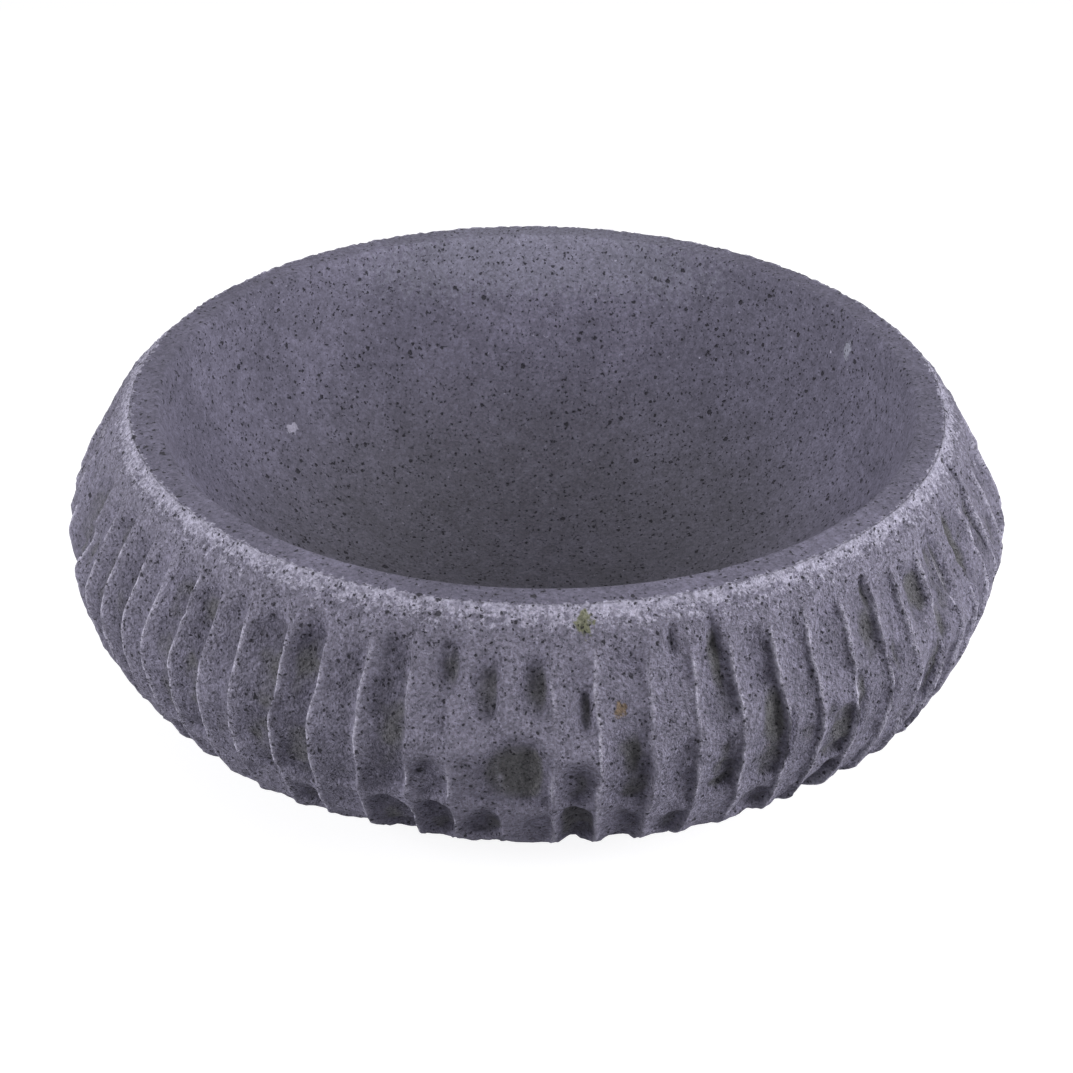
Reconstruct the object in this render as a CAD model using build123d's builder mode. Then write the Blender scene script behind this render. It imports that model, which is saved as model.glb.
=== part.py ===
"""Stone bowl planter, hewn from one block of andesite.

The hollow and the flat rim are turned and honed. The outside keeps the mason's chisel work: a hammered margin
under the rim, then a ring of upright flutes, cut in tiers down over the belly and in under it to a sawn base.
One core-drilled hole drains the floor.

Millimetres, +Z up. The origin is the middle of the base, on the surface that the bowl stands on, and -Y is
the front.
"""

from build123d import *

import os
from math import cos, radians, sin, tan

# Whole block
height = 150.0
rim_radius = 193.0  # outer edge of the flat rim
belly_radius = 225.5  # over the tallest crests, at their widest
belly_level = 95.0  # height of the belly above the base

# Undercut: the flank rolls in from the turn to the tuck, then slopes straight to the base
turn_radius = 211.5
turn_level = 43.0
tuck_radius = 193.0
tuck_level = 29.0
base_radius = 129.0

# Hammered margin, sloping from the rim's outer edge down to the heads of the flutes
margin_drop = 8.0
margin_reach = 8.5

# Hollow
rim_width = 14.0
bowl_depth = 120.0  # rim to the floor, at the foot of the wall
wall_lean = 15.0  # degrees from upright, closing towards the floor
floor_blend = 135.0  # radius between wall and floor
floor_fall = 2.0  # how far the floor drops to the drain
rim_easing = 1.0  # narrow bevel on the rim's inner edge

# Drain hole in the middle of the floor
drain_radius = 10.0
drain_easing = 1.5

# Flutes: each falls away from its left crest, is deepest near its right one, and climbs steeply to it
flute_count = 71
flute_depth = 4.6
flute_uneven = 0.3  # share of the depth by which strokes differ
first_crest = -3.2  # degrees from the front, positive to the right
spacing_drift = 0.8  # degrees by which the even spacing runs ahead and falls behind
crest_wander = 0.3  # degrees that a single crest strays from that spacing
crest_lean = 0.8  # degrees that a crest strays between base and rim
crest_loss = 1.6  # how much lower the most worn crest stands than the tallest

# The strokes lie in tiers that meet at these heights
ledge_level = 62.0
break_level = 106.0

# Corners across a flute, as rows of (share of its width from the left crest, share of its depth)
FLUTE_CORNERS = ((0.0, 0.0), (0.42, 0.72), (0.86, 1.0))

# Each tier's strokes from foot to head, as rows of (share of the tier's height, share of the flute depth)
LONG_STROKES = ((0.06, 0.45), (0.5, 1.0))
SHORT_STROKES = ((0.06, 0.45), (0.65, 0.95))
UNDER_STROKES = ((0.0, 0.5), (0.4, 0.95), (0.75, 1.0))
RUN_OUT = 0.1  # share of the flute depth that is left at the margin

# A turn by this angle never repeats, so it gives each flute its own irregularity
GOLDEN_ANGLE = 137.508

shoulder_level = height - margin_drop
shoulder_radius = rim_radius + margin_reach
mouth_radius = rim_radius - rim_width
floor_level = height - bowl_depth
foot_radius = mouth_radius - bowl_depth * tan(radians(wall_lean))


def between(low, high, share):
    """The value at a share of the way from one value to another."""
    return low + share * (high - low)


def stray(number, kind):
    """A steady value from -1 to 1 for a flute, different for each kind of irregularity."""
    return sin(radians(GOLDEN_ANGLE * (number % flute_count) * (kind + 1) + 40 * kind))


def crest_radius(level):
    """The radius over the tallest crests at a height."""
    if level >= shoulder_level:
        return between(rim_radius, shoulder_radius, (height - level) / margin_drop)
    if level >= belly_level:
        rise = (level - belly_level) / (shoulder_level - belly_level)
        return between(belly_radius, shoulder_radius, rise**1.2)
    if level >= turn_level:
        fall = (belly_level - level) / (belly_level - turn_level)
        return between(belly_radius, turn_radius, fall**2)
    if level >= tuck_level:
        roll = (turn_level - level) / (turn_level - tuck_level)
        return between(turn_radius, tuck_radius, roll**1.5)
    return between(base_radius, tuck_radius, level / tuck_level)


def crest(number, level):
    """Radius and angle of one crest at a height."""
    turns, place = divmod(number, flute_count)
    angle = first_crest + place * 360 / flute_count
    angle += spacing_drift * sin(radians(3 * angle)) + crest_wander * stray(place, 0)
    angle += crest_lean * stray(place, 1) * (level - belly_level) / height
    worn = crest_loss * min(1, (height - level) / margin_drop)
    radius = crest_radius(level) - worn * (0.5 + 0.5 * stray(place, 2))
    return radius, angle + 360 * turns


def flute_corners(number, level, depth):
    """The corners across one flute at a height, from its left crest to short of its right one."""
    left_radius, left_angle = crest(number, level)
    right_radius, right_angle = crest(number + 1, level)
    corners = []
    for across, dug in FLUTE_CORNERS:
        radius = between(left_radius, right_radius, across) - depth * dug
        angle = radians(between(left_angle, right_angle, across))
        corners.append((radius * sin(angle), -radius * cos(angle), level))
    return corners


def section_rows():
    """Height, depth share and tier of every section through the flutes, from the base to the rim."""
    tiers = (
        (0.0, turn_level, UNDER_STROKES),
        (turn_level, ledge_level, SHORT_STROKES),
        (ledge_level, break_level, LONG_STROKES),
        (break_level, shoulder_level, LONG_STROKES),
    )
    rows = []
    for tier, (foot, head, strokes) in enumerate(tiers):
        rows += [(between(foot, head, share), depth_share, tier) for share, depth_share in strokes]
    return rows + [(shoulder_level, RUN_OUT, tier), (height, 0.0, tier)]


def ring(level, depth_share, tier):
    """The corners all the way round the flutes at a height."""
    corners = []
    for number in range(flute_count):
        depth = flute_depth * depth_share * (1 + flute_uneven * stray(number, tier + 3))
        corners += flute_corners(number, level, depth)
    return corners


def facets(low, high):
    """The chisel's flat cuts between two rings, two triangles for each step round."""
    cuts = []
    for corner in range(len(low)):
        after = (corner + 1) % len(low)
        cuts.append(Face(Wire.make_polygon([low[corner], low[after], high[after]])))
        cuts.append(Face(Wire.make_polygon([low[corner], high[after], high[corner]])))
    return cuts


rings = [ring(*row) for row in section_rows()]

# Nothing here is cleaned, because merging the narrow facets of the skin would spoil it
with BuildPart() as stone_bowl:
    # Hewn outside, facet by facet from ring to ring
    skin = [cut for low, high in zip(rings, rings[1:]) for cut in facets(low, high)]
    base, top = (Face(Wire.make_polygon(corners)) for corners in (rings[0], rings[-1]))
    add(Solid(Shell([base, *skin, top])), clean=False)

    # Hollow
    with BuildSketch(Plane.XZ):
        with BuildLine():
            wall = FilletPolyline(
                (mouth_radius, height),
                (foot_radius, floor_level),
                (0, floor_level - floor_fall),
                radius=floor_blend,
            )
            Polyline(wall @ 1, (0, height), wall @ 0)
        make_face()
    revolve(axis=Axis.Z, mode=Mode.SUBTRACT, clean=False)

    # Drain, with an eased upper edge
    with BuildSketch():
        Circle(drain_radius)
    extrude(amount=floor_level, mode=Mode.SUBTRACT, clean=False)
    drain_edges = stone_bowl.edges().filter_by(GeomType.CIRCLE).sort_by(SortBy.RADIUS)[:2]
    chamfer(drain_edges.sort_by(Axis.Z)[-1], drain_easing)

    # Eased inner edge of the rim
    rim_edges = stone_bowl.edges().filter_by(GeomType.CIRCLE).group_by(Axis.Z)[-1]
    chamfer(rim_edges.sort_by(SortBy.RADIUS)[0], rim_easing)

stone_bowl.part.label = "stone_bowl"

os.makedirs("parts", exist_ok=True)
export_step(stone_bowl.part, "parts/stone_bowl.step")
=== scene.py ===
"""The looks of a stone bowl planter, hewn from one block of andesite.

The hollow and the flat rim are honed. Outside, a bruised margin lies under the rim, and below it the
mason's chisel cut upright flutes in tiers. The bowl is one mesh: its profile and the plan of the strokes
are laid out first, then a node tree cuts them into the surface. Lengths are in metres, and angles round
the bowl in degrees from the front, positive to the right.
"""

from math import cos, radians, sin, tan

import bpy
import numpy as np
from bpy.props import FloatProperty, FloatVectorProperty, PointerProperty
from mathutils import Euler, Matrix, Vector


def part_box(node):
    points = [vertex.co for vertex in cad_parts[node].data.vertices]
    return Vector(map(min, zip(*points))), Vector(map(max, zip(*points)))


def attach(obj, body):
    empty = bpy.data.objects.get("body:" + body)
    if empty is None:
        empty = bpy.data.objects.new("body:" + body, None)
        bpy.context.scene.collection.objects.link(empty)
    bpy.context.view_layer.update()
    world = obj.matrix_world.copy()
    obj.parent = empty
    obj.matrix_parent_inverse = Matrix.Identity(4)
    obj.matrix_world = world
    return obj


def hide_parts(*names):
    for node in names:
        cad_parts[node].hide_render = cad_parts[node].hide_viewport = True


bl_info = {
    "name": "Stone bowl planter",
    "version": (1, 0, 0),
    "blender": (4, 5, 0),
    "location": "View3D > Sidebar > Stone bowl",
    "description": "Hews the bowl, gives it its stone and sets up the studio",
    "category": "Object",
}

MM = 0.001
SEED = 7

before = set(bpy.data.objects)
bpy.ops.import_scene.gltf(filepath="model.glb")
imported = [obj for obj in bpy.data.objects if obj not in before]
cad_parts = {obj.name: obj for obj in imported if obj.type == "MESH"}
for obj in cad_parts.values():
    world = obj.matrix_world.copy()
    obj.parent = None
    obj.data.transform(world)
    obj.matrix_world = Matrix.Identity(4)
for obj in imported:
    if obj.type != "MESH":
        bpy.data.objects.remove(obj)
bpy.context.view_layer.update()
block_low, block_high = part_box("stone_bowl")


# Profile of the block

HEIGHT = block_high.z - block_low.z
RIM_RADIUS = 193 * MM
BELLY_RADIUS = 227 * MM
BELLY_LEVEL = 95 * MM
TURN_RADIUS = 211.5 * MM
TURN_LEVEL = 43 * MM
TUCK_RADIUS = 193 * MM
TUCK_LEVEL = 29 * MM
BASE_RADIUS = 129 * MM
MARGIN_DROP = 8 * MM
MARGIN_REACH = 8.5 * MM
SHOULDER_LEVEL = HEIGHT - MARGIN_DROP
SHOULDER_RADIUS = RIM_RADIUS + MARGIN_REACH

MOUTH_RADIUS = 179 * MM
BOWL_DEPTH = 120 * MM
WALL_LEAN = 15.0
FLOOR_BLEND = 135 * MM
FLOOR_FALL = 2 * MM
DRAIN_RADIUS = 10 * MM
EASING = 2.2 * MM

# Flutes, counted to the right from the one whose left crest is just left of the front

FLUTE_COUNT = 71
FIRST_CREST = -3.2
SPACING_DRIFT = 0.8
CREST_WANDER = 0.3
CREST_LEAN = 0.8
CREST_LOSS = 1.6 * MM
GOLDEN_ANGLE = 137.508

# Columns across one flute, closer together at its crests, and every sixth one goes on over the honed parts
COLUMNS = (0.0, 0.045, 0.11, 0.2, 0.31, 0.42, 0.53, 0.64, 0.74, 0.83, 0.9, 0.96)
COARSE_STEP = 6

LEDGE_LEVEL = 62 * MM
BREAK_LEVEL = 105 * MM
SCOOP_FOOT = 37 * MM

# Sides of the bowl where the mason worked in different ways, from one angle to another
LONG_SIDE = (-75, -14)  # one long stroke stands above the ledge
PLAIN_FRONT = (-13, 9)  # the upper tier is nearly flat between its dishes
SPLIT_SIDE = (27, 90)  # narrow splits lie beside most crests

# Single gouges, as rows of (angle, height, half width in degrees, half height, depth), lengths in mm
GOUGES = (
    (-2.6, 86, 4.0, 19, 8.0),
    (-9.8, 128, 1.7, 11, 5.0),
    (-5.6, 121, 1.9, 14, 5.2),
    (-0.2, 122, 1.9, 13, 5.4),
    (5.4, 114, 0.9, 10, 5.4),
    (10.2, 94, 1.3, 15, 6.6),
    (15.6, 136, 0.9, 7, 4.0),
    (20.6, 127, 1.2, 17, 6.4),
    (20.4, 89, 1.4, 15, 4.4),
    (26.6, 98, 1.7, 18, 7.6),
    (30.8, 85, 1.9, 10, 4.4),
    (31.6, 127, 0.6, 12, 4.2),
    (34.2, 93, 1.0, 9, 4.6),
    (37.0, 124, 0.6, 10, 4.4),
    (38.4, 98, 1.2, 10, 5.4),
    (42.6, 130, 0.9, 9, 5.6),
    (44.5, 104, 0.9, 12, 4.8),
    (46.2, 66, 2.2, 7, 4.4),
    (49.5, 121, 0.7, 17, 5.0),
    (53.6, 104, 1.3, 13, 5.6),
    (57.6, 122, 0.8, 19, 5.6),
    (63.4, 122, 1.5, 20, 7.4),
    (61.0, 86, 1.0, 14, 4.6),
    (68.5, 104, 0.8, 16, 4.6),
    (-16.6, 118, 1.6, 9, 3.4),
    (-21.8, 96, 1.4, 8, 2.8),
    (-31.0, 110, 1.2, 10, 2.6),
    (-37.6, 74, 1.0, 8, 4.2),
    (-42.5, 96, 1.0, 7, 2.6),
    (-26.8, 54, 1.8, 6, 3.4),
    (-33.2, 57, 1.2, 6, 4.0),
)
HIDDEN_GOUGES = 46  # strewn by chance over the sides and the back

# Flutes that the mason cut as one with the next flute on the right
WIDE_FLUTES = (21, 27, 36, 41, 48, 56)

# Marks in the stone, as rows of (angle, radius, height), the last two in mm
CHALK_MARK = (115.5, 174.8, 134.0)
PALE_MARK = (-121.8, 150.9, 82.3)
LICHEN_MARK = (5.8, 198.1, 144.7)
PEBBLE_MARK = (9.4, 217.4, 113.9)
RUST_MARK = (25.9, 224.8, 83.2)
HAZE_AND_PAINTED_LIGHT = (180.0, 176.0, 138.0)  # chalky bloom and painted light, high on the back of the hollow

# What the mesh tells the node tree at each point
PLAN = ("across", "stroke", "gouge", "hewn", "bruise")

# Across a flute, the cut grows evenly and then dies away by this power of the way left to the right crest
CLIMB_POWER = 0.35
CLIMB_PEAK = 0.462  # the largest cut that this gives


def between(low, high, share):
    """The value at a share of the way from one value to another."""
    return low + share * (high - low)


def ramp(low, high, value):
    """0 below low, 1 above high and a soft slope between."""
    share = np.clip((value - low) / (high - low), 0, 1)
    return share * share * (3 - 2 * share)


def stray(number, kind):
    """A steady value from -1 to 1 for a flute, different for each kind of irregularity."""
    return np.sin(np.radians(GOLDEN_ANGLE * (number % FLUTE_COUNT) * (kind + 1) + 40 * kind))


def chance(number, kind):
    """A value from 0 to 1 for a flute that looks like chance and is the same on each run."""
    return (np.sin((number % FLUTE_COUNT + 1) * 12.9898 + kind * 78.233) * 43758.5453) % 1.0


def crest_radius(level):
    """The radius over the tallest crests at a height."""
    if level >= SHOULDER_LEVEL:
        return between(RIM_RADIUS, SHOULDER_RADIUS, (HEIGHT - level) / MARGIN_DROP)
    if level >= BELLY_LEVEL:
        rise = (level - BELLY_LEVEL) / (SHOULDER_LEVEL - BELLY_LEVEL)
        return between(BELLY_RADIUS, SHOULDER_RADIUS, rise**1.2)
    if level >= TURN_LEVEL:
        fall = (BELLY_LEVEL - level) / (BELLY_LEVEL - TURN_LEVEL)
        return between(BELLY_RADIUS, TURN_RADIUS, fall**2)
    if level >= TUCK_LEVEL:
        roll = (TURN_LEVEL - level) / (TURN_LEVEL - TUCK_LEVEL)
        return between(TURN_RADIUS, TUCK_RADIUS, roll**1.5)
    return between(BASE_RADIUS, TUCK_RADIUS, level / TUCK_LEVEL)


def crest_angles(level):
    """The angle of every crest at a height, with the first one again at the end."""
    place = np.arange(FLUTE_COUNT)
    angle = FIRST_CREST + place * 360 / FLUTE_COUNT
    angle = angle + SPACING_DRIFT * np.sin(np.radians(3 * angle)) + CREST_WANDER * stray(place, 0)
    angle = angle + CREST_LEAN * stray(place, 1) * (level - BELLY_LEVEL) / HEIGHT
    flank = ramp(0, TUCK_LEVEL, level) * (1 - ramp(SHOULDER_LEVEL, HEIGHT, level))
    angle = angle + flank * 0.14 * np.sin(level / MM / 8.5 + 5 * stray(place, 7))
    angle = angle + flank * 0.09 * np.sin(level / MM / 3.7 + 9 * stray(place, 8))
    return np.append(angle, angle[0] + 360)


def belt_rows():
    """(radius, height, part) of each row of the hewn outside, from the base up and in over the rim."""
    rows = [(BASE_RADIUS - 5 * MM, 0.0, "base"), (BASE_RADIUS - 2 * MM, 0.0, "base")]
    levels = [TUCK_LEVEL * step / 17 for step in range(17)]
    levels += [between(TUCK_LEVEL, TURN_LEVEL, step / 9) for step in range(9)]
    levels += [between(TURN_LEVEL, SHOULDER_LEVEL, step / 64) for step in range(64)]
    rows += [(crest_radius(level), level, "flank") for level in levels]
    margin = [between(SHOULDER_LEVEL, HEIGHT, step / 8) for step in range(9)]
    rows += [(crest_radius(level), level, "margin") for level in margin]
    rows += [(RIM_RADIUS - inward * MM, HEIGHT, "rim") for inward in (0.8, 1.8, 3.0, 4.4, 6.0)]
    return rows


def hollow_rows():
    """(radius, height) of each coarse row from the rim down through the hollow and the drain to the base."""
    floor = HEIGHT - BOWL_DEPTH
    foot = MOUTH_RADIUS - BOWL_DEPTH * tan(radians(WALL_LEAN))
    rows = [(RIM_RADIUS - 7.6 * MM, HEIGHT), (RIM_RADIUS - 10 * MM, HEIGHT)]
    rows += [(MOUTH_RADIUS + EASING + gap * MM, HEIGHT) for gap in (1.2, 0.4)]
    for step in range(4):
        turn = radians(90 - 25 * step)
        rows.append((MOUTH_RADIUS + EASING * (1 - cos(turn)), HEIGHT - EASING * (1 - sin(turn))))
    # The blend touches the wall and the falling floor, and its middle lies inside both
    wall_way = Vector((foot - MOUTH_RADIUS, floor - HEIGHT)).normalized()
    floor_way = Vector((-foot, -FLOOR_FALL)).normalized()
    turn = wall_way.angle(floor_way)
    corner = Vector((foot, floor))
    wall_end = corner - wall_way * FLOOR_BLEND * tan(turn / 2)
    middle = wall_end + Vector((wall_way.y, -wall_way.x)) * FLOOR_BLEND
    for share in (0.15, 0.3, 0.65):
        rows.append((between(MOUTH_RADIUS, wall_end.x, share), between(HEIGHT, wall_end.y, share)))
    spoke = wall_end - middle
    start = np.arctan2(spoke.y, spoke.x)
    for step in range(25):
        angle = start - turn * step / 24
        rows.append((middle.x + FLOOR_BLEND * cos(angle), middle.y + FLOOR_BLEND * sin(angle)))
    for radius in (34, 24, 16, 13):
        share = radius * MM / foot
        rows.append((radius * MM, floor - FLOOR_FALL * (1 - share)))
    edge = floor - FLOOR_FALL
    rows += [(DRAIN_RADIUS + 1.6 * MM, edge), (DRAIN_RADIUS, edge - 1.6 * MM), (DRAIN_RADIUS, edge - 4 * MM)]
    rows += [(DRAIN_RADIUS, edge / 2), (DRAIN_RADIUS, 2 * MM), (DRAIN_RADIUS, 0.0)]
    rows += [(radius * MM, 0.0) for radius in (14, 24, 40, 60, 80, 100, 114)]
    return rows


def flute_middle(flute):
    """The angle of a flute's middle, from -180 to 180."""
    return (flute * 360 / FLUTE_COUNT + FIRST_CREST + 2.5 + 180) % 360 - 180


def stroke_depths(flute, across, level):
    """How deep the chisel went at a height, in metres, for one flute and all its columns."""
    level = level / MM
    middle = flute_middle(flute)
    long_side = middle < LONG_SIDE[1] if middle > LONG_SIDE[0] else chance(flute, 1) < 0.45
    head = SHOULDER_LEVEL / MM + 1.5 * stray(flute, 3)
    ledge = LEDGE_LEVEL / MM + 3.5 * stray(flute, 4)
    breach = BREAK_LEVEL / MM + 9 * stray(flute, 5)
    arch = (across - between(0.45, 0.8, chance(flute, 6))) ** 2
    strength = 1.12 * (1 + 0.3 * stray(flute, 6))

    def stroke(foot, top, depth, run_in, run_out):
        """One stroke, which starts and ends in an arch."""
        entry = ramp(0, run_in, top - between(12, 30, chance(flute, 17)) * arch - level)
        end = ramp(0, run_out, level - foot - 16 * arch)
        return depth * strength * entry * end

    plain = 0.4 if PLAIN_FRONT[0] < middle < PLAIN_FRONT[1] else 1.0
    scoop = 1.6 if chance(flute, 19) < 0.15 else between(3.0, 6.0, chance(flute, 7))
    scoop_head = ledge + between(-5, 6, chance(flute, 10))
    scoop_foot = SCOOP_FOOT / MM + 6 * stray(flute, 9)
    strokes = [stroke(scoop_foot, scoop_head, scoop, between(7, 15, chance(flute, 16)), 4)]
    if long_side:
        strokes.append(stroke(ledge - 1, head, 4.0, 15, 5))
        through = 1.6
    else:
        upper = plain * between(2.4, 4.0, chance(flute, 4))
        strokes.append(stroke(breach, head - 4 * chance(flute, 2), upper, 10, 10))
        strokes.append(stroke(ledge - 1, breach + 2, between(2.6, 4.4, chance(flute, 3)), 16, 8))
        through = plain * between(1.4, 2.8, chance(flute, 5))
    strokes.append(stroke(3, 34 + 3 * stray(flute, 10), between(2.2, 4.2, chance(flute, 8)), 5, 6))
    strokes.append(through * ramp(2, 10, level) * (1 - ramp(head - 15, head, level)) * np.ones_like(across))
    return np.max(strokes, axis=0) * MM


def gouge_depths(angle, level, gouges):
    """How deep the single gouges go at a height, in metres, for an array of angles."""
    depth = np.zeros_like(angle)
    for place, height, half_width, half_height, deep in gouges:
        aside = ((angle - place + 180) % 360 - 180) / half_width
        along = (level / MM - height) / half_height
        # The floor falls to the right and ends there in a steep wall, as the flutes do
        wall = np.where(aside > 0, aside**6, aside**2)
        inside = np.clip(1 - wall - along**2, 0, 1) ** 0.7
        depth = np.maximum(depth, deep * MM * inside * np.clip(between(0.75, 1.0, aside), 0.4, 1.0))
    return depth


def crevice_depths(flute, across, level):
    """How deep the split beside a flute's crest goes at a height, in metres, for all its columns."""
    middle = flute_middle(flute)
    share = 0.9 if SPLIT_SIDE[0] < middle < SPLIT_SIDE[1] else 0.3
    if LONG_SIDE[0] < middle <= SPLIT_SIDE[0] or chance(flute, 11) > share:
        return np.zeros_like(across)
    place = 0.08 if chance(flute, 12) < 0.4 else 0.9
    height = between(84, 124, chance(flute, 13))
    reach = between(12, 30, chance(flute, 14))
    deep = between(3.6, 6.4, chance(flute, 15))
    inside = np.clip(1 - ((across - place) / 0.085) ** 2, 0, 1)
    along = max(0.0, 1 - ((level / MM - height) / reach) ** 2)
    return deep * MM * inside * along**0.5


def all_gouges():
    """The gouges that the front shows, and more by chance on the sides and the back."""
    draw = np.random.default_rng(SEED)
    strewn = []
    for _ in range(HIDDEN_GOUGES):
        place = draw.uniform(72, 300)
        height = draw.uniform(62, 132)
        strewn.append((place, height, draw.uniform(0.9, 2.2), draw.uniform(7, 17), draw.uniform(2.4, 5.4)))
    return GOUGES + tuple(strewn)


def ring_points(radius, turn, level):
    """Points round the bowl at a height, for an array of angles in radians."""
    return np.stack([radius * np.sin(turn), -radius * np.cos(turn), np.full(len(turn), level)], 1)


def bowl_mesh():
    """The closed block before the chisel: smooth rows with the plan of the strokes as attributes."""
    gouges = all_gouges()
    across = np.tile(COLUMNS, FLUTE_COUNT)
    flute = np.repeat(np.arange(FLUTE_COUNT), len(COLUMNS))
    wide_across = np.where(np.isin(flute, WIDE_FLUTES), across / 2, across)
    wide_across = np.where(np.isin(flute - 1, WIDE_FLUTES), 0.5 + across / 2, wide_across)
    columns = len(across)
    points, plan = [], []
    rows = belt_rows()
    for radius, level, part in rows:
        crests = crest_angles(level)
        angle = crests[flute] + across * (crests[flute + 1] - crests[flute])
        worn = CREST_LOSS * (0.5 + 0.5 * stray(np.arange(FLUTE_COUNT + 1), 2))
        worn = worn[flute] + across * (worn[flute + 1] - worn[flute])
        flank = 1.0 if part == "flank" else 0.0
        if part == "margin":
            flank = (HEIGHT - level) / MARGIN_DROP
        reach = radius - worn * flank * ramp(-0.001, 0.02, level)
        points.append(ring_points(reach, np.radians(angle), level))
        strokes = np.zeros(columns)
        dug = np.zeros(columns)
        if part in ("flank", "margin"):
            for number in range(FLUTE_COUNT):
                own = slice(number * len(COLUMNS), (number + 1) * len(COLUMNS))
                strokes[own] = stroke_depths(number, across[own], level)
                dug[own] = crevice_depths(number, across[own], level)
            dug = np.maximum(dug, gouge_depths(angle, level, gouges))
        hewn = {"base": 0.0, "flank": 1.0, "margin": between(0.3, 1.0, flank), "rim": 0.0}[part]
        if part == "flank":
            hewn = float(ramp(0, 6 * MM, level))
        bruise = 0.0
        if part == "margin":
            bruise = between(0.3, 1.0, (level - SHOULDER_LEVEL) / MARGIN_DROP)
        if part == "flank":
            bruise = 0.3 * float(ramp(SHOULDER_LEVEL - 7 * MM, SHOULDER_LEVEL, level))
        if part == "rim":
            bruise = 0.62 * float(ramp(RIM_RADIUS - 4.0 * MM, RIM_RADIUS, radius))
        skin = [np.full(columns, hewn), np.full(columns, bruise)]
        plan.append(np.stack([wide_across, strokes, dug, *skin], 1))

    faces = []
    for row in range(len(rows) - 1):
        for column in range(columns):
            after = (column + 1) % columns
            low, high = row * columns, (row + 1) * columns
            faces.append((low + column, low + after, high + after, high + column))

    first_coarse = len(rows) * columns
    coarse = columns // COARSE_STEP
    honed = hollow_rows()
    crests = crest_angles(HEIGHT)
    angle = np.radians((crests[flute] + across * (crests[flute + 1] - crests[flute]))[::COARSE_STEP])
    for radius, level in honed:
        points.append(ring_points(radius, angle, level))
        plan.append(np.zeros((coarse, len(PLAN))))
    for row in range(len(honed) - 1):
        for column in range(coarse):
            after = (column + 1) % coarse
            low, high = first_coarse + row * coarse, first_coarse + (row + 1) * coarse
            faces.append((low + column, low + after, high + after, high + column))
    # Fans join the fine rows to the coarse ones, on the flat rim and on the flat base
    last_fine, last_coarse = (len(rows) - 1) * columns, first_coarse + (len(honed) - 1) * coarse
    for fine, wide, flip in ((last_fine, first_coarse, False), (0, last_coarse, True)):
        for column in range(coarse):
            after = (column + 1) % coarse
            step = [fine + (column * COARSE_STEP + k) % columns for k in range(COARSE_STEP + 1)]
            half = COARSE_STEP // 2
            fan = [(step[k], step[k + 1], wide + column) for k in range(half)]
            fan.append((step[half], wide + after, wide + column))
            fan += [(step[k], step[k + 1], wide + after) for k in range(half, COARSE_STEP)]
            faces += [tuple(reversed(face)) for face in fan] if flip else fan

    mesh = bpy.data.meshes.new("bowl_block")
    mesh.from_pydata(np.concatenate(points).tolist(), [], faces)
    values = np.concatenate(plan).astype(np.float32)
    for index, name in enumerate(PLAN):
        attribute = mesh.attributes.new(name, "FLOAT", "POINT")
        attribute.data.foreach_set("value", np.ascontiguousarray(values[:, index]))
    mesh.polygons.foreach_set("use_smooth", [True] * len(mesh.polygons))
    mesh.update()
    return mesh


# Node trees


class Wiring:
    """Adds nodes to a tree, and links or sets their inputs."""

    def __init__(self, tree):
        self.tree = tree

    def node(self, kind, inputs=None, **settings):
        """A new node with its settings made and its inputs fed."""
        node = self.tree.nodes.new(kind)
        for name, value in settings.items():
            setattr(node, name, value)
        for key, value in (inputs or {}).items():
            self.feed(node.inputs[key], value)
        return node

    def feed(self, socket, value):
        """Links an output to an input, or sets the input's own value."""
        if isinstance(value, bpy.types.NodeSocket):
            self.tree.links.new(value, socket)
        else:
            socket.default_value = value

    def math(self, operation, first, second=0.0, third=0.0, clamp=False):
        """The result of a Math node."""
        inputs = {0: first, 1: second, 2: third}
        return self.node("ShaderNodeMath", inputs, operation=operation, use_clamp=clamp).outputs[0]

    def slope(self, value, low, high, to_low=0.0, to_high=1.0):
        """The value carried softly from one range to another."""
        inputs = {"Value": value, "From Min": low, "From Max": high, "To Min": to_low, "To Max": to_high}
        return self.node("ShaderNodeMapRange", inputs, interpolation_type="SMOOTHSTEP").outputs["Result"]

    def noise(self, vector, scale, detail=3.0, roughness=0.55):
        """A noise value from 0 to 1."""
        inputs = {"Vector": vector, "Scale": scale, "Detail": detail, "Roughness": roughness}
        return self.node("ShaderNodeTexNoise", inputs).outputs[0]

    def mix(self, share, first, second, blend="MIX"):
        """Two colours mixed."""
        node = self.node("ShaderNodeMix", data_type="RGBA", blend_type=blend)
        self.feed(node.inputs[0], share)
        self.feed(node.inputs[6], first)
        self.feed(node.inputs[7], second)
        return node.outputs[2]


def new_tree(name, kind, inputs, outputs):
    """A node group with named inputs and outputs, its wiring, and its input node."""
    tree = bpy.data.node_groups.new(name, kind)
    for label, socket_type, default in inputs:
        socket = tree.interface.new_socket(label, in_out="INPUT", socket_type=socket_type)
        if default is not None:
            socket.default_value = default
    for label, socket_type in outputs:
        tree.interface.new_socket(label, in_out="OUTPUT", socket_type=socket_type)
    wiring = Wiring(tree)
    return tree, wiring, wiring.node("NodeGroupInput"), wiring.node("NodeGroupOutput")


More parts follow.
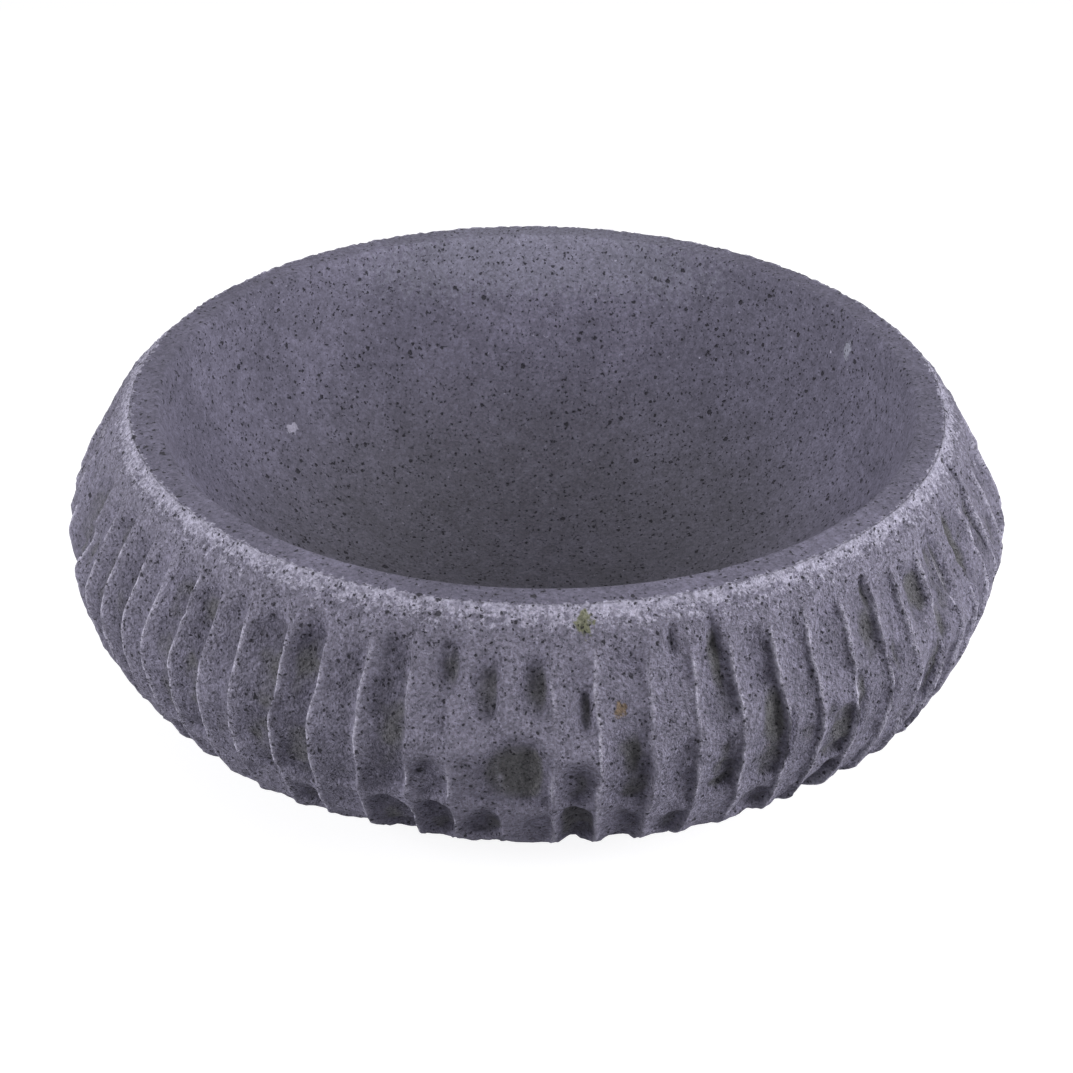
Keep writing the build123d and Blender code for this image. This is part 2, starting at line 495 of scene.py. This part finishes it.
def relief_tree():
    """Cuts the planned strokes into the block, roughens it and stores where it is dug and worn."""
    tree, w, given, result = new_tree(
        "chisel relief",
        "GeometryNodeTree",
        (
            ("Block", "NodeSocketGeometry", None),
            ("Stroke depth", "NodeSocketFloat", 1.0),
            ("Spall depth", "NodeSocketFloat", 0.001),
            ("Grain depth", "NodeSocketFloat", 0.0006),
            ("Margin roughness", "NodeSocketFloat", 0.0009),
            ("Stone", "NodeSocketMaterial", None),
        ),
        (("Bowl", "NodeSocketGeometry"),),
    )

    def plan(name):
        node = w.node("GeometryNodeInputNamedAttribute", {"Name": name}, data_type="FLOAT")
        return node.outputs[0]

    across, stroke, gouge, hewn, bruise = (plan(name) for name in PLAN)
    place = w.node("GeometryNodeInputPosition").outputs[0]
    normal = w.node("GeometryNodeInputNormal").outputs[0]

    # A flute falls away from its left crest and climbs steeply to the right one
    left = w.math("SUBTRACT", 1.0, across)
    climb = w.math("POWER", left, CLIMB_POWER)
    scallop = w.math("DIVIDE", w.math("MULTIPLY", across, climb), CLIMB_PEAK)
    waver = w.slope(w.noise(place, 55.0, 2.0), 0.3, 0.7, 0.75, 1.2)
    cut = w.math("MULTIPLY", w.math("MULTIPLY", scallop, stroke), waver)
    dug = w.math("MULTIPLY", gouge, w.slope(w.noise(place, 90.0, 2.0), 0.3, 0.7, 0.85, 1.12))
    depth = w.math("MULTIPLY", w.math("SMOOTH_MAX", cut, dug, 0.0008), given.outputs["Stroke depth"])

    # Crests are chipped off in places
    away = w.math("MINIMUM", across, w.math("MULTIPLY", left, 2.2))
    near_crest = w.slope(away, 0.0, 0.3, 1.0, 0.0)
    chip = w.slope(w.noise(place, 70.0, 3.0), 0.58, 0.74)
    chipped = w.math("MULTIPLY", w.math("MULTIPLY", chip, near_crest), w.math("MULTIPLY", hewn, 0.0016))

    flake = w.node("ShaderNodeTexVoronoi", {"Vector": place, "Scale": 105.0}, feature="F1")
    flake = w.math("SUBTRACT", flake.outputs["Distance"], 0.45)
    swell = w.math("SUBTRACT", w.noise(place, 130.0, 2.0), 0.5)
    spall = w.math("ADD", flake, w.math("MULTIPLY", swell, 2.4))
    spall = w.math("MULTIPLY", spall, given.outputs["Spall depth"])
    grain = w.math("SUBTRACT", w.noise(place, 380.0, 3.0, 0.7), 0.5)
    grain = w.math("MULTIPLY", w.math("MULTIPLY", grain, 2.5), given.outputs["Grain depth"])
    dish = w.math("DIVIDE", depth, 0.005, clamp=True)
    calm = w.math("MULTIPLY", w.slope(near_crest, 0.3, 1.0, 1.0, 0.4), w.slope(dish, 0.5, 1.0, 1.0, 0.6))
    rough = w.math("MULTIPLY", w.math("ADD", spall, grain), w.math("MULTIPLY", hewn, calm))

    # The hammer left pits in the margin, and it nibbled the rim's outer edge
    pit = w.slope(w.noise(place, 240.0, 3.0, 0.7), 0.42, 0.68)
    pit = w.math("MULTIPLY", w.math("MULTIPLY", pit, bruise), given.outputs["Margin roughness"])

    total = w.math("ADD", w.math("ADD", depth, chipped), w.math("ADD", rough, pit))
    total = w.math("MULTIPLY", total, -1.0)
    inward = w.node("ShaderNodeVectorMath", {0: normal, "Scale": total}, operation="SCALE").outputs[0]
    block = given.outputs["Block"]
    step = w.node("GeometryNodeSetPosition", {"Geometry": block, "Offset": inward}).outputs[0]

    # What the shader shows: olive stain mixed with painted shade lies in the dished parts, and the crests
    # are painted pale, partly as rubbed wear and partly as painted highlight
    away = w.math("MINIMUM", across, w.math("MULTIPLY", left, 1.4))
    edge = w.slope(away, 0.0, 0.075, 1.0, 0.0)
    worn = w.math("MULTIPLY", edge, w.slope(stroke, 0.0008, 0.0028))
    for name, value in (("dish", dish), ("worn", worn)):
        inputs = {"Geometry": step, "Name": name, "Value": value}
        stored = w.node("GeometryNodeStoreNamedAttribute", inputs, data_type="FLOAT", domain="POINT")
        step = stored.outputs[0]
    real = w.node("GeometryNodeRealizeInstances", {0: step}).outputs[0]
    stone = given.outputs["Stone"]
    dressed = w.node("GeometryNodeSetMaterial", {"Geometry": real, "Material": stone})
    w.feed(result.inputs[0], dressed.outputs[0])
    return tree


def pore_group():
    """Open pores: dark holes of uneven size in a share of the cells."""
    tree, w, given, result = new_tree(
        "stone pores",
        "ShaderNodeTree",
        (
            ("Vector", "NodeSocketVector", None),
            ("Scale", "NodeSocketFloat", 200.0),
            ("Share", "NodeSocketFloat", 0.3),
            ("Size", "NodeSocketFloat", 0.25),
        ),
        (("Mask", "NodeSocketFloat"),),
    )
    vector = given.outputs["Vector"]
    bend = w.node("ShaderNodeTexNoise", {"Vector": vector, "Scale": 800.0, "Detail": 2.0}).outputs["Color"]
    bend = w.node("ShaderNodeVectorMath", {0: bend, "Scale": 0.0022}, operation="SCALE").outputs[0]
    bent = w.node("ShaderNodeVectorMath", {0: vector, 1: bend}, operation="ADD").outputs[0]
    cell = w.node("ShaderNodeTexVoronoi", {"Vector": bent, "Scale": given.outputs["Scale"]}, feature="F1")
    parts = w.node("ShaderNodeSeparateColor", {0: cell.outputs["Color"]})
    chosen = w.math("LESS_THAN", parts.outputs[0], given.outputs["Share"])
    size = w.math("MULTIPLY", given.outputs["Size"], w.slope(parts.outputs[1], 0.0, 1.0, 0.35, 1.3))
    hole = w.slope(w.math("DIVIDE", cell.outputs["Distance"], size), 0.7, 1.15, 1.0, 0.0)
    w.feed(result.inputs[0], w.math("MULTIPLY", hole, chosen))
    return tree


def speckle_group():
    """Mineral grains: a lightness for each grain, spread round 1."""
    tree, w, given, result = new_tree(
        "mineral speckle",
        "ShaderNodeTree",
        (
            ("Vector", "NodeSocketVector", None),
            ("Scale", "NodeSocketFloat", 1100.0),
            ("Contrast", "NodeSocketFloat", 0.2),
        ),
        (("Lightness", "NodeSocketFloat"),),
    )
    vector, scale = given.outputs["Vector"], given.outputs["Scale"]
    fine = w.node("ShaderNodeTexVoronoi", {"Vector": vector, "Scale": scale}, feature="F1")
    fine = w.node("ShaderNodeSeparateColor", {0: fine.outputs["Color"]}).outputs[0]
    cloud = w.noise(vector, w.math("MULTIPLY", scale, 0.55), 3.0, 0.75)
    cloud = w.math("MULTIPLY", w.math("SUBTRACT", cloud, 0.5), 2.6)
    both = w.math("ADD", w.math("SUBTRACT", fine, 0.5), cloud)
    w.feed(result.inputs[0], w.math("MULTIPLY_ADD", both, given.outputs["Contrast"], 1.0))
    return tree


def mark_group():
    """A ragged mark at one place on the stone."""
    tree, w, given, result = new_tree(
        "single mark",
        "ShaderNodeTree",
        (
            ("Vector", "NodeSocketVector", None),
            ("Centre", "NodeSocketVector", None),
            ("Reach", "NodeSocketVector", (0.004, 0.004, 0.004)),
        ),
        (("Mask", "NodeSocketFloat"),),
    )
    vector, centre, reach = (given.outputs[name] for name in ("Vector", "Centre", "Reach"))
    away = w.node("ShaderNodeVectorMath", {0: vector, 1: centre}, operation="SUBTRACT")
    away = w.node("ShaderNodeVectorMath", {0: away.outputs[0], 1: reach}, operation="DIVIDE")
    far = w.node("ShaderNodeVectorMath", {0: away.outputs[0]}, operation="LENGTH").outputs["Value"]
    fray = w.math("MULTIPLY", w.math("SUBTRACT", w.noise(vector, 420.0, 3.0), 0.5), 2.2)
    ragged = w.math("ADD", far, fray)
    w.feed(result.inputs[0], w.slope(ragged, 0.55, 1.0, 1.0, 0.0))
    return tree


def around(angle, radius, level):
    """The point at an angle, a radius and a height, the last two in mm."""
    turn = radians(angle)
    return (radius * MM * sin(turn), -radius * MM * cos(turn), level * MM)


def stone_material(finish):
    """Grey andesite: honed and hewn skins of one stone, with pores, bruises, pale crests that are partly
    painted highlight, a few marks, olive stain mixed with painted shade in the dishes, the gouges and low in
    the hollow, and a painted light high on the back of the hollow.
    """
    material = bpy.data.materials.new("andesite")
    material.use_nodes = True
    material.node_tree.nodes.clear()
    w = Wiring(material.node_tree)
    pores, speckle, mark = pore_group(), speckle_group(), mark_group()

    def group(tree, **inputs):
        named = {key.capitalize(): value for key, value in inputs.items()}
        return w.node("ShaderNodeGroup", named, node_tree=tree).outputs[0]

    place = w.node("ShaderNodeTexCoord").outputs["Object"]

    def plan(name):
        return w.node("ShaderNodeAttribute", attribute_name=name).outputs["Fac"]

    hewn, bruise, dish, worn = plan("hewn"), plan("bruise"), plan("dish"), plan("worn")

    # The stone's own colour, cloudy over the width of a hand and of a finger
    colour = w.mix(w.slope(w.noise(place, 14.0, 3.0), 0.32, 0.68), finish.stone_dark, finish.stone_light)
    cloud = w.slope(w.noise(place, 60.0, 4.0, 0.65), 0.3, 0.7, 0.88, 1.1)
    patch = w.slope(w.noise(place, 260.0, 3.0, 0.6), 0.3, 0.7, 0.84, 1.16)
    colour = w.mix(1.0, colour, w.math("MULTIPLY", cloud, patch), "MULTIPLY")
    # Painted shade: the colour is darkened in the deep dishes of the flutes, where shade falls
    colour = w.mix(1.0, colour, w.slope(dish, 0.5, 1.0, 1.0, 0.8), "MULTIPLY")

    # Olive stain mixed with painted shade: darker in the dished parts, in the gouges and low in the hollow
    level = w.node("ShaderNodeSeparateXYZ", {0: place}).outputs["Z"]
    # Low in the honed hollow: stain and painted shade
    low = w.math("MULTIPLY", w.slope(level, 0.03, 0.1, 1.0, 0.0), w.math("SUBTRACT", 1.0, hewn))
    stain = w.math("MULTIPLY", w.slope(dish, 0.55, 1.0), w.slope(w.noise(place, 45.0, 3.0), 0.42, 0.62))
    stain = w.math("MAXIMUM", w.math("MULTIPLY", stain, 0.75), w.math("MULTIPLY", low, 0.4))
    # Painted shade in the gouges, deeper ones darker, in the stain's olive grey
    stain = w.math("MAXIMUM", stain, w.slope(plan("gouge"), 0.0022, 0.0055, 0.0, 0.85))
    colour = w.mix(stain, colour, finish.stain)

    # Powdered skin where the chisel cut, and paler in the hammered margin. The crests are painted pale,
    # partly as rubbed wear and partly as painted highlight on the lit crest walls
    powder = w.math("MULTIPLY", hewn, w.slope(dish, 0.0, 0.9, 0.26, 0.06))
    colour = w.mix(powder, colour, finish.bruised)
    # Pale crest lines: rubbed wear and painted highlight
    crest = w.math("MULTIPLY", worn, w.slope(w.noise(place, 120.0, 3.0), 0.34, 0.6, 0.1, 1.0))
    colour = w.mix(crest, colour, finish.arris_wear_and_highlight)
    fray = w.math("MULTIPLY", w.math("SUBTRACT", w.noise(place, 300.0, 3.0, 0.7), 0.5), 2.4)
    ragged = w.math("ADD", bruise, fray)
    hammered = w.math("MULTIPLY", w.slope(ragged, 0.36, 0.74), 0.95)
    colour = w.mix(hammered, colour, finish.hammered)
    pit = w.slope(w.noise(place, 240.0, 3.0, 0.7), 0.46, 0.64, 0.0, 0.55)
    colour = w.mix(w.math("MULTIPLY", pit, bruise), colour, finish.stone_dark)

    # Single marks
    for spot, reach, tint, strength in (
        (CHALK_MARK, (0.0028, 0.0036, 0.0065), finish.chalk, 0.45),
        (PALE_MARK, (0.004, 0.004, 0.003), finish.bruised, 0.7),
        (LICHEN_MARK, (0.0042, 0.006, 0.0068), finish.lichen, 0.9),
        (PEBBLE_MARK, (0.0032, 0.004, 0.0038), finish.pebble, 0.95),
        (RUST_MARK, (0.0028, 0.004, 0.0045), finish.rust, 0.7),
        # Painted light: a paler patch high on the back of the hollow, partly chalky bloom
        (HAZE_AND_PAINTED_LIGHT, (0.13, 0.05, 0.024), finish.chalk, 0.14),
    ):
        mask = group(mark, vector=place, centre=around(*spot), reach=reach)
        colour = w.mix(w.math("MULTIPLY", mask, strength), colour, tint)

    # Mineral grains show most where the hammer and the chisel opened them
    contrast = w.math("ADD", w.math("MULTIPLY_ADD", hewn, 0.17, 0.36), w.math("MULTIPLY", hammered, 0.12))
    grains = group(speckle, vector=place, scale=1000.0, contrast=contrast)
    colour = w.mix(1.0, colour, grains, "MULTIPLY")

    # Pores
    share = w.math("MULTIPLY_ADD", hewn, -0.12, 0.26)
    large = group(pores, vector=place, scale=130.0, share=share, size=0.14)
    middle = group(pores, vector=place, scale=250.0, share=0.42, size=0.18)
    small = group(pores, vector=place, scale=480.0, share=w.math("MULTIPLY_ADD", hewn, 0.14, 0.3), size=0.26)
    tiny = group(pores, vector=place, scale=850.0, share=w.math("MULTIPLY_ADD", hewn, 0.14, 0.25), size=0.3)
    small = w.math("MAXIMUM", small, w.math("MULTIPLY", tiny, 0.7))
    holes = w.math("MAXIMUM", w.math("MAXIMUM", large, middle), small)
    colour = w.mix(w.math("MULTIPLY", holes, 0.86), colour, finish.pore)

    rough = w.math("MULTIPLY_ADD", hewn, 0.14, 0.78)
    swell = w.math("MULTIPLY", w.noise(place, 330.0, 3.0, 0.65), 1.6)
    lumps = w.math("ADD", w.noise(place, 850.0, 3.0, 0.7), swell)
    grit = w.math("MULTIPLY", lumps, w.math("MULTIPLY_ADD", hewn, 0.85, 0.15))
    height = w.math("SUBTRACT", grit, w.math("MULTIPLY", holes, 0.9))
    bump = w.node("ShaderNodeBump", {"Height": height, "Strength": 1.0, "Distance": 0.0018})
    skin = w.node("ShaderNodeBsdfPrincipled", {"Base Color": colour, "Roughness": rough})
    w.feed(skin.inputs["Normal"], bump.outputs[0])
    skin.inputs["Specular IOR Level"].default_value = 0.3
    out = w.node("ShaderNodeOutputMaterial")
    w.feed(out.inputs["Surface"], skin.outputs[0])
    return material


def colour_property(name, description, default):
    """A linear colour that the panel shows."""
    return FloatVectorProperty(
        name=name, description=description, default=default, size=4, min=0.0, max=1.0, subtype="COLOR"
    )


def depth_property(name, description, default):
    """A small depth that the panel shows."""
    return FloatProperty(name=name, description=description, default=default, unit="LENGTH", precision=5)


def power_property(name, description, default):
    """A lamp's power that the panel shows."""
    return FloatProperty(name=name, description=description, default=default, unit="POWER")


class BowlChiselSettings(bpy.types.PropertyGroup):
    """Depths of the chisel work."""

    stroke_depth: FloatProperty(
        name="Stroke depth",
        description="Depth of the strokes as a share of the planned depth",
        default=1.0,
        min=0.0,
        max=1.5,
    )
    spall_depth: depth_property("Spall depth", "Depth of the flakes between strokes", 1.25 * MM)
    grain_depth: depth_property("Grain depth", "Depth of the coarse grain", 0.6 * MM)
    margin_roughness: depth_property("Margin roughness", "Depth of the hammer's pits", 1.2 * MM)


class BowlFinishSettings(bpy.types.PropertyGroup):
    """Colours of the stone."""

    stone_dark: colour_property("Stone, dark", "Darker clouds of the stone", (0.117, 0.11, 0.156, 1.0))
    hammered: colour_property("Hammered", "Crushed stone of the margin", (0.37, 0.355, 0.455, 1.0))
    # Arris colour: crests rubbed pale, and a painted highlight on the lit crest walls
    arris_wear_and_highlight: colour_property("Arris", "Crests rubbed pale", (0.5, 0.48, 0.6, 1.0))
    stone_light: colour_property("Stone, light", "Lighter clouds of the stone", (0.151, 0.142, 0.2, 1.0))
    bruised: colour_property("Bruised", "Stone powdered by hammer and chisel", (0.43, 0.41, 0.52, 1.0))
    pore: colour_property("Pore", "Inside of an open pore", (0.012, 0.011, 0.016, 1.0))
    # Olive grey stain, also used as painted shade in the dishes, the gouges and low in the hollow
    stain: colour_property("Stain", "Olive grey where water stands", (0.086, 0.086, 0.081, 1.0))
    # Chalk colour, also used for the painted light high on the back of the hollow
    chalk: colour_property("Chalk", "Scrape on the inner wall", (0.42, 0.43, 0.52, 1.0))
    lichen: colour_property("Lichen", "Olive patch on the margin", (0.16, 0.165, 0.1, 1.0))
    pebble: colour_property("Pebble", "Brown pebble in the flank", (0.18, 0.13, 0.09, 1.0))
    rust: colour_property("Rust", "Reddish stain in a gouge", (0.17, 0.07, 0.08, 1.0))


class BowlStageSettings(bpy.types.PropertyGroup):
    """Floor, lamps and camera."""

    floor_size: FloatProperty(
        name="Floor size", description="Width of the floor", default=12.0, unit="LENGTH"
    )
    key_power: power_property("Left lamp", "Power of the lamp on the left", 16.5)
    fill_power: power_property("Right lamp", "Power of the lamp on the right", 20.5)
    top_power: power_property("Top lamp", "Power of the lamp overhead", 7.5)
    ambient: FloatProperty(name="Ambient", description="Strength of the room's light", default=0.19, min=0.0)
    lens: FloatProperty(
        name="Lens", description="Focal length on a 36 mm sensor", default=74.8, unit="CAMERA"
    )


def apply_relief(block, chisel, material):
    """Runs the relief tree on the block and returns the finished mesh."""
    tree = relief_tree()
    modifier = block.modifiers.new("chisel relief", "NODES")
    modifier.node_group = tree
    values = {
        "Stroke depth": chisel.stroke_depth,
        "Spall depth": chisel.spall_depth,
        "Grain depth": chisel.grain_depth,
        "Margin roughness": chisel.margin_roughness,
        "Stone": material,
    }
    for item in tree.interface.items_tree:
        if item.in_out == "INPUT" and item.name in values:
            modifier[item.identifier] = values[item.name]
    evaluated = block.evaluated_get(bpy.context.evaluated_depsgraph_get())
    mesh = bpy.data.meshes.new_from_object(evaluated)
    block.modifiers.remove(modifier)
    return mesh


class STONEBOWL_OT_hew_bowl(bpy.types.Operator):
    """Make the bowl: profile, strokes, relief and stone"""

    bl_idname = "stonebowl.hew_bowl"
    bl_label = "Hew the bowl"

    def execute(self, context):
        material = stone_material(context.scene.bowl_finish)
        bowl = bpy.data.objects.new("hewn_bowl", bowl_mesh())
        context.scene.collection.objects.link(bowl)
        rough_block = bowl.data
        bowl.data = apply_relief(bowl, context.scene.bowl_chisel, material)
        bpy.data.meshes.remove(rough_block)
        bowl.data.name = "hewn_bowl"
        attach(bowl, "root")
        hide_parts("stone_bowl")
        return {"FINISHED"}


# Studio

CAMERA_PLACE = (0.0, -0.9496, 0.6380)
CAMERA_DIP = 31.07  # degrees that it looks down
CAMERA_ROLL = 0.77
CAMERA_YAW = -0.025


# Lamps, as rows of (name, place, width, setting that holds the power)
LAMPS = (
    ("left_lamp", (-1.25, -0.5, 0.52), 0.6, "key_power"),
    ("right_lamp", (1.25, -0.45, 0.52), 0.7, "fill_power"),
    ("top_lamp", (0.0, -0.1, 1.7), 1.1, "top_power"),
)
LAMP_AIM = (0.0, 0.0, 0.08)
FLOOR_GAP = 0.2 * MM  # keeps the floor clear of the sawn base


def soft_lamp(context, name, place, size, power):
    """A square area lamp that points at the bowl."""
    lamp = bpy.data.lights.new(name, "AREA")
    lamp.shape = "SQUARE"
    lamp.size = size
    lamp.energy = power
    holder = bpy.data.objects.new(name, lamp)
    holder.location = place
    holder.rotation_euler = (Vector(LAMP_AIM) - Vector(place)).to_track_quat("-Z", "Y").to_euler()
    context.scene.collection.objects.link(holder)


def floor_material():
    """White to the camera but for the bowl's shadow, and a dull grey for what it throws back."""
    material = bpy.data.materials.new("studio_floor")
    material.use_nodes = True
    material.node_tree.nodes.clear()
    w = Wiring(material.node_tree)
    seen = w.node("ShaderNodeLightPath")
    matte = w.node("ShaderNodeBsdfDiffuse", {"Color": (0.4, 0.4, 0.42, 1.0)})
    glow = w.node("ShaderNodeEmission", {"Color": (1.0, 1.0, 1.0, 1.0), "Strength": 0.8})
    veil = w.node("ShaderNodeAddShader", {0: matte.outputs[0], 1: glow.outputs[0]})
    direct = w.math("MAXIMUM", seen.outputs["Is Camera Ray"], seen.outputs["Is Glossy Ray"])
    direct = w.math("MAXIMUM", direct, seen.outputs["Is Transmission Ray"])
    surface = w.node("ShaderNodeMixShader", {0: direct, 1: matte.outputs[0], 2: veil.outputs[0]})
    out = w.node("ShaderNodeOutputMaterial")
    w.feed(out.inputs["Surface"], surface.outputs[0])
    return material


def studio_world(ambient):
    """A room that lights softly and shows white."""
    world = bpy.data.worlds.new("studio")
    world.use_nodes = True
    world.node_tree.nodes.clear()
    w = Wiring(world.node_tree)
    seen = w.node("ShaderNodeLightPath")
    direct = w.math("MAXIMUM", seen.outputs["Is Camera Ray"], seen.outputs["Is Glossy Ray"])
    direct = w.math("MAXIMUM", direct, seen.outputs["Is Transmission Ray"])
    strength = w.math("ADD", w.math("MULTIPLY", direct, 1.0 - ambient), ambient)
    back = w.node("ShaderNodeBackground", {"Color": (1.0, 1.0, 1.0, 1.0), "Strength": strength})
    out = w.node("ShaderNodeOutputWorld")
    w.feed(out.inputs["Surface"], back.outputs[0])
    return world


class STONEBOWL_OT_set_stage(bpy.types.Operator):
    """Set the floor, the lamps and the camera"""

    bl_idname = "stonebowl.set_stage"
    bl_label = "Set the stage"

    def execute(self, context):
        stage = context.scene.bowl_stage
        half = stage.floor_size / 2
        mesh = bpy.data.meshes.new("studio_floor")
        corners = [(-half, -half, 0), (half, -half, 0), (half, half, 0), (-half, half, 0)]
        mesh.from_pydata(corners, [], [(0, 1, 2, 3)])
        mesh.materials.append(floor_material())
        floor = bpy.data.objects.new("studio_floor", mesh)
        floor.location.z = -FLOOR_GAP
        context.scene.collection.objects.link(floor)

        context.scene.world = studio_world(stage.ambient)
        for name, place, size, power in LAMPS:
            soft_lamp(context, name, place, size, getattr(stage, power))

        lens = bpy.data.cameras.new("camera")
        lens.lens = stage.lens
        lens.sensor_width = 36.0
        lens.clip_start = 0.01
        camera = bpy.data.objects.new("camera", lens)
        camera.location = CAMERA_PLACE
        aim_turn = Euler((radians(90 - CAMERA_DIP), 0.0, radians(CAMERA_YAW))).to_matrix()
        roll = Euler((0.0, 0.0, radians(CAMERA_ROLL))).to_matrix()
        camera.rotation_euler = (aim_turn @ roll).to_euler()
        context.scene.collection.objects.link(camera)
        context.scene.camera = camera
        context.scene.view_settings.view_transform = "Standard"
        return {"FINISHED"}


class STONEBOWL_PT_panel(bpy.types.Panel):
    """The bowl's sizes, colours and stage"""

    bl_idname = "STONEBOWL_PT_panel"
    bl_label = "Stone bowl planter"
    bl_space_type = "VIEW_3D"
    bl_region_type = "UI"
    bl_category = "Stone bowl"

    def draw(self, context):
        for group, operator in (
            ("bowl_chisel", None),
            ("bowl_finish", "stonebowl.hew_bowl"),
            ("bowl_stage", "stonebowl.set_stage"),
        ):
            settings = getattr(context.scene, group)
            column = self.layout.column()
            for name in settings.bl_rna.properties.keys():
                if name not in ("rna_type", "name"):
                    column.prop(settings, name)
            if operator:
                column.operator(operator)


CLASSES = (
    BowlChiselSettings,
    BowlFinishSettings,
    BowlStageSettings,
    STONEBOWL_OT_hew_bowl,
    STONEBOWL_OT_set_stage,
    STONEBOWL_PT_panel,
)


def register():
    for each in CLASSES:
        bpy.utils.register_class(each)
    bpy.types.Scene.bowl_chisel = PointerProperty(type=BowlChiselSettings)
    bpy.types.Scene.bowl_finish = PointerProperty(type=BowlFinishSettings)
    bpy.types.Scene.bowl_stage = PointerProperty(type=BowlStageSettings)


def unregister():
    del bpy.types.Scene.bowl_stage
    del bpy.types.Scene.bowl_finish
    del bpy.types.Scene.bowl_chisel
    for each in reversed(CLASSES):
        bpy.utils.unregister_class(each)


def main():
    register()
    bpy.ops.stonebowl.hew_bowl()
    bpy.ops.stonebowl.set_stage()


if __name__ == "__main__":
    main()
